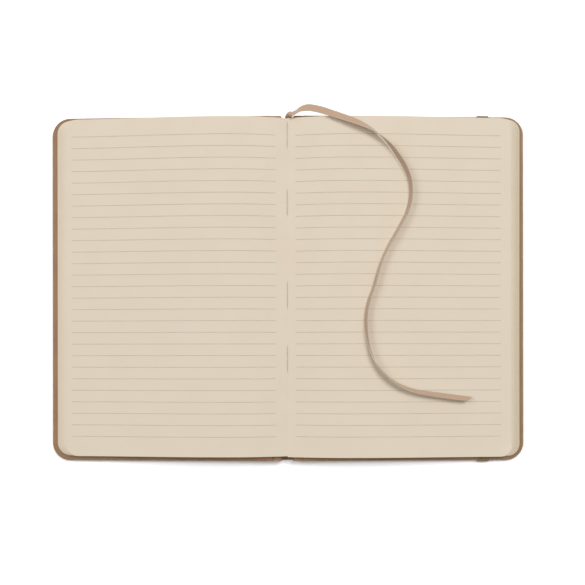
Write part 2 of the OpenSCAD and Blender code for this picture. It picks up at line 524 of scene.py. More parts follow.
class Effects:
    """Shader node groups that several finishes share, each built once."""

    _made: dict[str, bpy.types.NodeTree] = {}

    @classmethod
    def _start(
        cls, name: str, inputs: dict[str, float], outputs: Sequence[str]
    ) -> tuple[bpy.types.NodeTree, bpy.types.Node, bpy.types.Node]:
        """Start a group with a Vector input, number inputs and number outputs.

        Args:
            name: The group's name.
            inputs: Each number input with its usual value.
            outputs: The number outputs.

        Returns:
            The group, its input node and its output node.
        """
        tree = bpy.data.node_groups.new(name, "ShaderNodeTree")
        tree.interface.new_socket("Vector", in_out="INPUT", socket_type="NodeSocketVector")
        for label, value in inputs.items():
            socket = tree.interface.new_socket(
                label, in_out="INPUT", socket_type="NodeSocketFloat"
            )
            socket.default_value = value
        for label in outputs:
            tree.interface.new_socket(label, in_out="OUTPUT", socket_type="NodeSocketFloat")
        cls._made[name] = tree
        return tree, tree.nodes.new("NodeGroupInput"), tree.nodes.new("NodeGroupOutput")

    @staticmethod
    def math(
        tree: bpy.types.NodeTree,
        operation: str,
        a: bpy.types.NodeSocket | float,
        b: bpy.types.NodeSocket | float = 0.0,
        c: bpy.types.NodeSocket | float = 0.0,
    ) -> bpy.types.NodeSocket:
        """Add a Math node whose inputs are sockets or plain numbers.

        Args:
            tree: The node tree.
            operation: The node's operation.
            a: The first input.
            b: The second input.
            c: The third input.

        Returns:
            The node's output.
        """
        node = tree.nodes.new("ShaderNodeMath")
        node.operation = operation
        for socket, value in zip(node.inputs, (a, b, c)):
            if isinstance(value, bpy.types.NodeSocket):
                tree.links.new(value, socket)
            else:
                socket.default_value = value
        return node.outputs[0]

    @staticmethod
    def remap(
        tree: bpy.types.NodeTree,
        value: bpy.types.NodeSocket,
        span: tuple[float, float],
        to: tuple[float, float] = (0.0, 1.0),
    ) -> bpy.types.NodeSocket:
        """Add a smooth Map Range node.

        Args:
            tree: The node tree.
            value: The value that it reads.
            span: The span that the value comes in.
            to: The span that it is spread over.

        Returns:
            The node's output.
        """
        node = tree.nodes.new("ShaderNodeMapRange")
        node.interpolation_type = "SMOOTHSTEP"
        tree.links.new(value, node.inputs["Value"])
        node.inputs["From Min"].default_value, node.inputs["From Max"].default_value = span
        node.inputs["To Min"].default_value, node.inputs["To Max"].default_value = to
        return node.outputs[0]

    @classmethod
    def fibre(cls) -> bpy.types.NodeTree:
        """Fine fibres and broad mottling, as in uncoated paper or board.

        Returns:
            The node group.
        """
        if "fibre" in cls._made:
            return cls._made["fibre"]
        tree, given, out = cls._start(
            "fibre", {"Fibre Scale": 900.0, "Mottle Scale": 25.0}, ("Height", "Mottle")
        )
        fine = tree.nodes.new("ShaderNodeTexNoise")
        fine.inputs["Detail"].default_value = 5.0
        fine.inputs["Roughness"].default_value = 0.65
        tree.links.new(given.outputs["Vector"], fine.inputs["Vector"])
        tree.links.new(given.outputs["Fibre Scale"], fine.inputs["Scale"])
        broad = tree.nodes.new("ShaderNodeTexNoise")
        broad.inputs["Detail"].default_value = 3.0
        tree.links.new(given.outputs["Vector"], broad.inputs["Vector"])
        tree.links.new(given.outputs["Mottle Scale"], broad.inputs["Scale"])
        tree.links.new(fine.outputs[0], out.inputs["Height"])
        tree.links.new(cls.remap(tree, broad.outputs[0], (0.35, 0.65)), out.inputs["Mottle"])
        return tree

    @classmethod
    def grain(cls) -> bpy.types.NodeTree:
        """Small rounded pebbles, as on a smooth covering material.

        Returns:
            The node group.
        """
        if "grain" in cls._made:
            return cls._made["grain"]
        tree, given, out = cls._start("grain", {"Scale": 1800.0}, ("Height",))
        cells = tree.nodes.new("ShaderNodeTexVoronoi")
        cells.feature = "SMOOTH_F1"
        tree.links.new(given.outputs["Vector"], cells.inputs["Vector"])
        tree.links.new(given.outputs["Scale"], cells.inputs["Scale"])
        noise = tree.nodes.new("ShaderNodeTexNoise")
        noise.inputs["Detail"].default_value = 4.0
        tree.links.new(given.outputs["Vector"], noise.inputs["Vector"])
        tree.links.new(
            cls.math(tree, "MULTIPLY", given.outputs["Scale"], 2.2), noise.inputs["Scale"]
        )
        height = cls.math(tree, "MULTIPLY_ADD", noise.outputs[0], 0.5, cells.outputs[0])
        tree.links.new(height, out.inputs["Height"])
        return tree

    @classmethod
    def edge_wear(cls) -> bpy.types.NodeTree:
        """A broken band along the outline of a rectangle centred on the origin.

        Returns:
            The node group.
        """
        if "edge wear" in cls._made:
            return cls._made["edge wear"]
        tree, given, out = cls._start(
            "edge wear",
            {"Half Width": 0.1, "Half Height": 0.1, "Reach": 0.001, "Patch Scale": 300.0},
            ("Wear",),
        )
        parts = tree.nodes.new("ShaderNodeSeparateXYZ")
        tree.links.new(given.outputs["Vector"], parts.inputs[0])
        gaps = []
        for axis, half in (("X", "Half Width"), ("Y", "Half Height")):
            far = cls.math(tree, "ABSOLUTE", parts.outputs[axis])
            gaps.append(cls.math(tree, "SUBTRACT", given.outputs[half], far))
        near = cls.math(tree, "MINIMUM", gaps[0], gaps[1])
        share = cls.math(tree, "DIVIDE", near, given.outputs["Reach"])
        band = cls.remap(tree, share, (0.0, 1.0), (1.0, 0.0))
        patches = tree.nodes.new("ShaderNodeTexNoise")
        patches.inputs["Detail"].default_value = 6.0
        tree.links.new(given.outputs["Vector"], patches.inputs["Vector"])
        tree.links.new(given.outputs["Patch Scale"], patches.inputs["Scale"])
        broken = cls.remap(tree, patches.outputs[0], (0.4, 0.62))
        tree.links.new(cls.math(tree, "MULTIPLY", band, broken), out.inputs["Wear"])
        return tree

    @classmethod
    def ribs(cls) -> bpy.types.NodeTree:
        """Cords that run along a band and threads that cross it, on the band's own UV map, with a
        share used to paint shade into the weave's hollows.

        Returns:
            The node group.
        """
        if "ribs" in cls._made:
            return cls._made["ribs"]
        tree, given, out = cls._start(
            "ribs", {"Cords": 7.0, "Picks": 300.0}, ("Height", "Shade")
        )
        parts = tree.nodes.new("ShaderNodeSeparateXYZ")
        tree.links.new(given.outputs["Vector"], parts.inputs[0])
        across = cls.math(tree, "MULTIPLY", parts.outputs["Y"], given.outputs["Cords"])
        along = cls.math(tree, "MULTIPLY", parts.outputs["X"], given.outputs["Picks"])
        odd = cls.math(tree, "MULTIPLY", cls.math(tree, "FLOOR", across), 0.5)
        cord = cls.math(tree, "SINE", cls.math(tree, "MULTIPLY", across, 2 * math.pi))
        stepped = cls.math(tree, "ADD", along, odd)
        thread = cls.math(tree, "SINE", cls.math(tree, "MULTIPLY", stepped, 2 * math.pi))
        height = cls.math(tree, "MULTIPLY_ADD", thread, 0.35, cord)
        tree.links.new(height, out.inputs["Height"])
        tree.links.new(cls.remap(tree, height, (-1.2, 1.2)), out.inputs["Shade"])
        return tree


class Finish:
    """A Principled material that is being put together."""

    def __init__(self, name: str, roughness: float, specular: float = 0.4) -> None:
        """Start the material.

        Args:
            name: The material's name.
            roughness: The roughness all over.
            specular: The specular level all over.
        """
        self.material = bpy.data.materials.new(name)
        self.material.use_nodes = True
        self.tree = self.material.node_tree
        self.shader = self.tree.nodes["Principled BSDF"]
        self.shader.inputs["Roughness"].default_value = roughness
        self.shader.inputs["Specular IOR Level"].default_value = specular

    def coordinates(self, kind: str = "Object") -> bpy.types.NodeSocket:
        """Give the piece's own coordinates, Object or UV."""
        return self.tree.nodes.new("ShaderNodeTexCoord").outputs[kind]

    def effect(
        self, group: bpy.types.NodeTree, vector: bpy.types.NodeSocket, **values: float
    ) -> bpy.types.Node:
        """Place a shared effect.

        Args:
            group: The effect's node group.
            vector: The coordinates that it reads.
            values: Its inputs, with underscores for spaces.

        Returns:
            The group's node.
        """
        node = self.tree.nodes.new("ShaderNodeGroup")
        node.node_tree = group
        self.tree.links.new(vector, node.inputs["Vector"])
        for label, value in values.items():
            node.inputs[label.replace("_", " ")].default_value = value
        return node

    def mix(
        self,
        share: bpy.types.NodeSocket,
        first: bpy.types.NodeSocket | Colour,
        second: bpy.types.NodeSocket | Colour,
    ) -> bpy.types.NodeSocket:
        """Mix two colours.

        Args:
            share: How much of the second shows, from 0 to 1.
            first: The first colour.
            second: The second colour.

        Returns:
            The mixed colour.
        """
        node = self.tree.nodes.new("ShaderNodeMix")
        node.data_type = "RGBA"
        self.tree.links.new(share, node.inputs[0])
        for socket, value in ((node.inputs[6], first), (node.inputs[7], second)):
            if isinstance(value, bpy.types.NodeSocket):
                self.tree.links.new(value, socket)
            else:
                socket.default_value = (*value, 1.0)
        return node.outputs[2]

    def colour(self, socket: bpy.types.NodeSocket) -> None:
        """Use a socket as the base colour."""
        self.tree.links.new(socket, self.shader.inputs["Base Color"])

    def bump(self, height: bpy.types.NodeSocket, distance: float, strength: float) -> None:
        """Raise the surface by a height.

        Args:
            height: The height, about 0 to 1.
            distance: The relief in millimetres.
            strength: How strongly it shows.
        """
        node = self.tree.nodes.new("ShaderNodeBump")
        node.inputs["Distance"].default_value = distance * MM
        node.inputs["Strength"].default_value = strength
        self.tree.links.new(height, node.inputs["Height"])
        self.tree.links.new(node.outputs[0], self.shader.inputs["Normal"])


def linear(red: int, green: int, blue: int) -> Colour:
    """Turn a colour as a screen shows it into the linear one that shaders use.

    Args:
        red: Red, from 0 to 255.
        green: Green, from 0 to 255.
        blue: Blue, from 0 to 255.

    Returns:
        The linear colour.
    """

    def one(value: int) -> float:
        """Turn one channel."""
        share = value / 255
        return share / 12.92 if share <= 0.04045 else ((share + 0.055) / 1.055) ** 2.4

    return one(red), one(green), one(blue)


@dataclass(frozen=True)
class PaperFinish:
    """Uncoated paper: a warm tone, soft mottling and short fibres, with a deeper painted shade
    along the fore edges.
    """

    name: str
    light: Colour
    deep: Colour
    fore_edge_shade: Colour
    tone_reach: float = 1.0
    front_shade_share: float = 0.4
    relief: float = 0.02

    def make(self) -> bpy.types.Material:
        """Build the material.

        Returns:
            The material.
        """
        finish = Finish(self.name, roughness=0.88, specular=0.25)
        place = finish.coordinates()
        fibre = finish.effect(Effects.fibre(), place, Fibre_Scale=1400.0, Mottle_Scale=60.0)
        plain = finish.mix(fibre.outputs["Mottle"], self.light, self.deep)
        parts = finish.tree.nodes.new("ShaderNodeSeparateXYZ")
        finish.tree.links.new(place, parts.inputs[0])
        # Painted shade: the fanned fore edges take a deeper, yellower colour in place of the shade
        # between the leaves. It is full on the back half and weaker on the front half.
        near = (BUILD.top_fore - self.tone_reach) * MM
        far = BUILD.low_fore * MM
        back = Effects.remap(finish.tree, parts.outputs["X"], (near, far))
        front = Effects.remap(
            finish.tree, parts.outputs["X"], (-far, -near), (self.front_shade_share, 0.0)
        )
        share = Effects.math(finish.tree, "MAXIMUM", back, front)
        finish.colour(finish.mix(share, plain, self.fore_edge_shade))
        finish.bump(fibre.outputs["Height"], self.relief, 0.35)
        return finish.material


@dataclass(frozen=True)
class InkFinish:
    """A printed line that the paper's fibres break up a little."""

    name: str
    full: Colour
    thin: Colour

    def make(self) -> bpy.types.Material:
        """Build the material.

        Returns:
            The material.
        """
        finish = Finish(self.name, roughness=0.85, specular=0.25)
        fibre = finish.effect(
            Effects.fibre(), finish.coordinates(), Fibre_Scale=700.0, Mottle_Scale=120.0
        )
        finish.colour(finish.mix(fibre.outputs["Mottle"], self.full, self.thin))
        return finish.material


@dataclass(frozen=True)
class CoveringFinish:
    """The cover's smooth matt covering, paler where its edges are rubbed."""

    name: str
    base: Colour
    dark: Colour
    rubbed: Colour
    wear_share: float = 0.55
    wear_reach: float = 1.4

    def make(self) -> bpy.types.Material:
        """Build the material.

        Returns:
            The material.
        """
        finish = Finish(self.name, roughness=0.62, specular=0.4)
        place = finish.coordinates()
        grain = finish.effect(Effects.grain(), place, Scale=1500.0)
        mottle = finish.effect(Effects.fibre(), place, Fibre_Scale=500.0, Mottle_Scale=40.0)
        wear = finish.effect(
            Effects.edge_wear(),
            place,
            Half_Width=BUILD.fore_x * MM,
            Half_Height=BUILD.cover_h / 2 * MM,
            Reach=self.wear_reach * MM,
            Patch_Scale=260.0,
        )
        tone = finish.mix(mottle.outputs["Mottle"], self.base, self.dark)
        share = Effects.math(finish.tree, "MULTIPLY", wear.outputs["Wear"], self.wear_share)
        finish.colour(finish.mix(share, tone, self.rubbed))
        finish.bump(grain.outputs["Height"], 0.05, 0.3)
        return finish.material


@dataclass(frozen=True)
class BoardFinish:
    """Grey board, seen only where the covering leaves it bare."""

    name: str
    base: Colour
    fleck: Colour

    def make(self) -> bpy.types.Material:
        """Build the material.

        Returns:
            The material.
        """
        finish = Finish(self.name, roughness=0.9, specular=0.2)
        fibre = finish.effect(
            Effects.fibre(), finish.coordinates(), Fibre_Scale=400.0, Mottle_Scale=350.0
        )
        finish.colour(finish.mix(fibre.outputs["Mottle"], self.base, self.fleck))
        finish.bump(fibre.outputs["Height"], 0.08, 0.4)
        return finish.material


@dataclass(frozen=True)
class WovenFinish:
    """A woven band or ribbon, whose weave follows its own UV map, with painted shade: a lit colour
    on the raised threads and a shaded one on the sunk threads.
    """

    name: str
    raised_lit: Colour
    sunk_shaded: Colour
    cords: float
    picks: float
    relief: float
    roughness: float
    sheen: float
    selvedge: Colour | None = None
    selvedge_share: float = 0.1
    selvedge_blur: float = 0.02

    def make(self) -> bpy.types.Material:
        """Build the material.

        Returns:
            The material.
        """
        finish = Finish(self.name, roughness=self.roughness, specular=0.35)
        finish.shader.inputs["Sheen Weight"].default_value = self.sheen
        finish.shader.inputs["Sheen Roughness"].default_value = 0.4
        ribs = finish.effect(
            Effects.ribs(), finish.coordinates("UV"), Cords=self.cords, Picks=self.picks
        )
        # Painted shade: the sunk threads take the shaded colour and the raised threads the lit
        # one.
        tone = finish.mix(ribs.outputs["Shade"], self.sunk_shaded, self.raised_lit)
        if self.selvedge:
            parts = finish.tree.nodes.new("ShaderNodeSeparateXYZ")
            finish.tree.links.new(finish.coordinates("UV"), parts.inputs[0])
            off = Effects.math(finish.tree, "SUBTRACT", parts.outputs["Y"], 0.5)
            edge = Effects.math(finish.tree, "ABSOLUTE", off)
            border = 0.5 - self.selvedge_share
            blur = self.selvedge_blur
            share = Effects.remap(finish.tree, edge, (border - blur, border + blur))
            tone = finish.mix(share, tone, self.selvedge)
        finish.colour(tone)
        finish.bump(ribs.outputs["Height"], self.relief, 0.5)
        return finish.material


@dataclass(frozen=True)
class ThreadFinish:
    """Linen thread with a fine fuzz."""

    name: str
    light: Colour
    deep: Colour

    def make(self) -> bpy.types.Material:
        """Build the material.

        Returns:
            The material.
        """
        finish = Finish(self.name, roughness=0.8, specular=0.25)
        fibre = finish.effect(
            Effects.fibre(), finish.coordinates(), Fibre_Scale=3000.0, Mottle_Scale=900.0
        )
        finish.colour(finish.mix(fibre.outputs["Mottle"], self.light, self.deep))
        finish.bump(fibre.outputs["Height"], 0.03, 0.5)
        return finish.material


class Palette:
    """Every finish of the notebook, made once."""

    def __init__(self) -> None:
        """Make the materials."""
        self.page = PaperFinish(
            "page paper",
            light=linear(228, 215, 195),
            deep=linear(227, 213, 193),
            # The colour of the painted shade along the fanned fore edges.
            fore_edge_shade=linear(217, 203, 177),
        ).make()
        self.endpaper = PaperFinish(
            "endpaper",
            light=linear(236, 219, 187),
            deep=linear(232, 215, 182),
            fore_edge_shade=linear(234, 217, 185),
        ).make()
        self.ink = InkFinish(
            "ruling ink",
            full=linear(196, 185, 168),
            thin=linear(205, 195, 179),
        ).make()
        self.covering = CoveringFinish(
            "cover covering",
            base=linear(150, 118, 88),
            dark=linear(142, 110, 81),
            rubbed=linear(176, 147, 120),
        ).make()
        self.board = BoardFinish(
            "grey board",
            base=linear(150, 144, 134),
            fleck=linear(128, 121, 111),
        ).make()
        self.elastic = WovenFinish(
            "woven elastic",
            # Lit and shaded colours of the one elastic, painted onto its raised and sunk threads.
            raised_lit=linear(150, 124, 92),
            sunk_shaded=linear(114, 90, 62),
            cords=7.0,
            picks=420.0,
            relief=0.12,
            roughness=0.75,
            sheen=0.3,
        ).make()
        self.ribbon = WovenFinish(
            "satin ribbon",
            # Lit and shaded colours of the one satin, painted onto its raised and sunk threads.
            raised_lit=linear(197, 165, 138),
            sunk_shaded=linear(189, 156, 129),
            cords=20.0,
            picks=1400.0,
            relief=0.008,
            roughness=0.38,
            sheen=0.5,
            selvedge=linear(182, 170, 152),
        ).make()
        self.thread = ThreadFinish(
            "linen thread",
            light=linear(216, 206, 187),
            deep=linear(198, 187, 168),
        ).make()


def dress(
    obj: bpy.types.Object,
    name: str,
    material: bpy.types.Material,
    body: str | None,
) -> None:
    """Name a finished piece, give it its material and let it ride on its body.

    Args:
        obj: The piece.
        name: Its name.
        material: Its only material.
        body: The body that it rides on, or None for a piece that bends between two bodies.
    """
    obj.name = name
    obj.data.name = name
    obj.data.materials.clear()
    obj.data.materials.append(material)
    if body:
        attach(obj, body)
    log.info("%s: %d faces", name, len(obj.data.polygons))


@dataclass(frozen=True)
class PhotoCamera:
    """The camera that took the picture, straight above the open book."""

    distance: float = 500.0
    aim_x: float = 3.0
    aim_y: float = -38.6
    lens: float = 49.92
    rise: float = 0.1017
    turn: float = -0.07
    lean: float = 0.38

    def place(self) -> None:
        """Make the camera and use it."""
        data = bpy.data.cameras.new("photo camera")
        data.lens = self.lens
        data.sensor_width = 36.0
        data.shift_y = self.rise
        data.clip_start = 0.01
        camera = bpy.data.objects.new("photo camera", data)
        aside = self.distance * math.tan(math.radians(self.lean))
        camera.location = ((self.aim_x + aside) * MM, self.aim_y * MM, self.distance * MM)
        camera.rotation_euler = (0, math.radians(self.lean), math.radians(self.turn))
        bpy.context.scene.collection.objects.link(camera)
        bpy.context.scene.camera = camera


def seen_directly(tree: bpy.types.NodeTree) -> bpy.types.NodeSocket:
    """Tell the rays that show a surface to the eye from those that carry light.

    Args:
        tree: The node tree.

    Returns:
        1 for a ray from the camera, from a gloss or through glass, and otherwise 0.
    """
    rays = tree.nodes.new("ShaderNodeLightPath")
    seen = Effects.math(
        tree, "MAXIMUM", rays.outputs["Is Camera Ray"], rays.outputs["Is Glossy Ray"]
    )
    return Effects.math(tree, "MAXIMUM", seen, rays.outputs["Is Transmission Ray"])


@dataclass(frozen=True)
class SoftLight:
    """One large round studio light that points at the book."""

    name: str
    place: tuple[float, float, float]
    power: float
    size: float

    def hang(self) -> None:
        """Make the light, aimed at the middle of the book."""
        data = bpy.data.lights.new(self.name, "AREA")
        data.shape = "DISK"
        data.size = self.size
        data.energy = self.power
        lamp = bpy.data.objects.new(self.name, data)
        lamp.location = self.place
        aim = -Vector(self.place)
        lamp.rotation_euler = aim.to_track_quat("-Z", "Y").to_euler()
        bpy.context.scene.collection.objects.link(lamp)


@dataclass(frozen=True)
class Studio:
    """A white table under two large soft lights, one from the head and one from the left."""

    floor_size: float = 1.6
    floor_tone: Colour = (0.93, 0.93, 0.93)
    seen_tone: float = 1.3
    lights: tuple[SoftLight, ...] = (
        SoftLight("head light", (0.9, 1.0, 2.4), 38.5, 1.3),
        SoftLight("left light", (-1.7, 0.45, 2.0), 18.5, 1.3),
    )
    sky: float = 0.33

    def floor(self) -> None:
        """Lay the table, which shows white around the book and keeps its shadow."""
        deselect_all()
        bpy.ops.mesh.primitive_plane_add(size=self.floor_size, location=(0, 0, -0.0001))
        table = bpy.context.object
        table.name = "table"
        material = bpy.data.materials.new("white table")
        material.use_nodes = True
        tree = material.node_tree
        shader = tree.nodes["Principled BSDF"]
        shader.inputs["Base Color"].default_value = (*self.floor_tone, 1.0)
        shader.inputs["Roughness"].default_value = 0.9
        shader.inputs["Specular IOR Level"].default_value = 0.1
        bright = tree.nodes.new("ShaderNodeBsdfDiffuse")
        bright.inputs["Color"].default_value = (self.seen_tone,) * 3 + (1.0,)
        choice = tree.nodes.new("ShaderNodeMixShader")
        tree.links.new(seen_directly(tree), choice.inputs[0])
        tree.links.new(shader.outputs[0], choice.inputs[1])
        tree.links.new(bright.outputs[0], choice.inputs[2])
        tree.links.new(choice.outputs[0], tree.nodes["Material Output"].inputs["Surface"])
        table.data.materials.append(material)

    def lamps(self) -> None:
        """Hang the lights and set the even light of the room."""
        for light in self.lights:
            light.hang()
        world = bpy.data.worlds.new("room")
        world.use_nodes = True
        tree = world.node_tree
        back = tree.nodes["Background"]
        back.inputs["Color"].default_value = (1, 1, 1, 1)
        back.inputs["Strength"].default_value = self.sky
        white = tree.nodes.new("ShaderNodeBackground")
        white.inputs["Color"].default_value = (1, 1, 1, 1)
        white.inputs["Strength"].default_value = 1.0
        choice = tree.nodes.new("ShaderNodeMixShader")
        tree.links.new(seen_directly(tree), choice.inputs[0])
        tree.links.new(back.outputs[0], choice.inputs[1])
        tree.links.new(white.outputs[0], choice.inputs[2])
        tree.links.new(choice.outputs[0], tree.nodes["World Output"].inputs["Surface"])
        bpy.context.scene.world = world


# The ribbon's route from the head of the spine to its tip, as part.scad has it: a point in
# millimetres, then the way that its width points.
RIBBON_ROUTE = (
    (0.7, 103.7, 5, -1, 0, 0),
    (0.8, 103.6, 7.6, -1, 0, 0),
    (1.1, 104, 9.4, -1, 0.1, -0.1),
    (1.8, 104.4, 10.5, -0.9, 0.2, -0.4),
    (2.8, 104.8, 11.1, -0.7, 0.5, -0.7),
    (4.1, 105.3, 11.4, -0.5, 0.6, -0.8),
    (5.9, 106.2, 11.8, -0.3, 0.6, -0.8),
    (8.5, 107.6, 12.1, -0.1, 0.8, -0.5),
    (13, 108.3, 12.5, 0.1, 1, -0.1),
    (19.9, 106.8, 13.4, 0.3, 1, -0.1),
    (27.6, 103.9, 14.9, 0.3, 0.9, -0.2),
    (35, 101.1, 15.9, 0.3, 0.9, -0.3),
    (42.4, 98.2, 16.4, 0.3, 0.8, -0.5),
    (49.6, 94.8, 16.1, 0.3, 0.5, -0.8),
    (56, 90.3, 16.1, 0.1, 0.1, -1),
    (61.3, 85.3, 15.8, -0.2, -0.1, -1),
    (65.8, 79.4, 15.4, -0.3, -0.2, -0.9),
    (70, 72.9, 15, -0.35, -0.2, -0.9),
    (73.1, 65.9, 14.6, -0.35, -0.1, -0.95),
    (74.1, 59.1, 14.4, -0.35, 0, -0.95),
    (73.7, 52.2, 14.4, -0.35, 0.1, -0.95),
    (71.8, 45.3, 14.5, -0.35, 0.15, -0.95),
    (68.5, 38.7, 14.8, -0.3, 0.15, -0.95),
    (64.6, 31.8, 15.1, -0.3, 0.15, -0.95),
    (60.6, 24.9, 15.4, -0.25, 0.1, -0.95),
    (57, 17.1, 15.5, -0.2, 0.1, -1),
    (54.4, 9.4, 15.7, -0.2, 0.1, -1),
    (52, 1, 15.7, -0.25, 0.1, -1),
    (49.2, -6.7, 15.8, -0.3, 0.1, -0.95),
    (47.4, -14.5, 15.9, -0.3, 0.1, -0.95),
    (47.1, -23.1, 15.9, -0.3, 0.05, -0.95),
    (48.4, -32.4, 16.1, -0.15, 0, -1),
    (51.2, -41.3, 16.2, 0, 0.05, -1),
    (56.1, -49.4, 16.2, 0.15, 0.15, -1),
    (62.5, -55.6, 15.8, 0.2, 0.25, -1),
    (69.9, -59.9, 15.2, 0.2, 0.4, -0.9),
    (77.6, -62.4, 14.4, 0.15, 0.5, -0.8),
    (85.8, -63.8, 13.7, 0.1, 0.6, -0.75),
    (94.9, -65.1, 12.9, 0.1, 0.65, -0.7),
    (103.4, -66.2, 12.4, 0.1, 0.6, -0.7),
    (111.2, -67, 12, 0.1, 0.5, -0.8),
)


@dataclass(frozen=True)
class Ribbon:
    """The satin bookmark, a flat cord that is glued into the head of the spine."""

    width: float = 4.2
    thickness: float = 0.28
    slant: float = 3.6
    cut_run: float = 7.0
    per_span: int = 6
    across: int = 6

    def build(self, material: bpy.types.Material) -> bpy.types.Object:
        """Args:
            material: Its satin.

        Returns:
            The ribbon.
        """
        route = np.array(RIBBON_ROUTE, float)
        line = curve_through(route[:, :3], self.per_span)
        lean = curve_through(route[:, 3:], self.per_span)
        ahead = np.gradient(line, axis=0)
        ahead /= np.linalg.norm(ahead, axis=1)[:, None]
        wide = lean - (lean * ahead).sum(1)[:, None] * ahead
        wide /= np.linalg.norm(wide, axis=1)[:, None]
        long = line_length(line)
        steps = np.linalg.norm(np.diff(line, axis=0), axis=1)
        at = np.concatenate([[0.0], np.cumsum(steps)])
        half = self.width / 2
        rows = [half * (2 * k / self.across - 1) for k in range(1, self.across)]
        ribbon = flat_sheet("ribbon", long, -half, half, at[1:-1], rows)

        def lay(points: Points) -> Points:
            """Carry the flat ribbon onto its route, with its end cut at a slant.

            Args:
                points: The flat ribbon's points.

            Returns:
                The points on the route.
            """
            cut = smooth((points[:, 0] - long + self.cut_run) / self.cut_run) * self.slant
            s = points[:, 0] - cut * (0.5 - points[:, 1] / self.width)
            out = np.empty_like(points)
            for k in range(3):
                middle = np.interp(s, at, line[:, k])
                out[:, k] = middle + np.interp(s, at, wide[:, k]) * points[:, 1]
            return out

        write_points(ribbon, lay(read_points(ribbon)))
        close_sheet(ribbon, self.thickness)
        dress(ribbon, "satin_ribbon", material, "pages")
        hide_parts("ribbon_bookmark")
        return ribbon


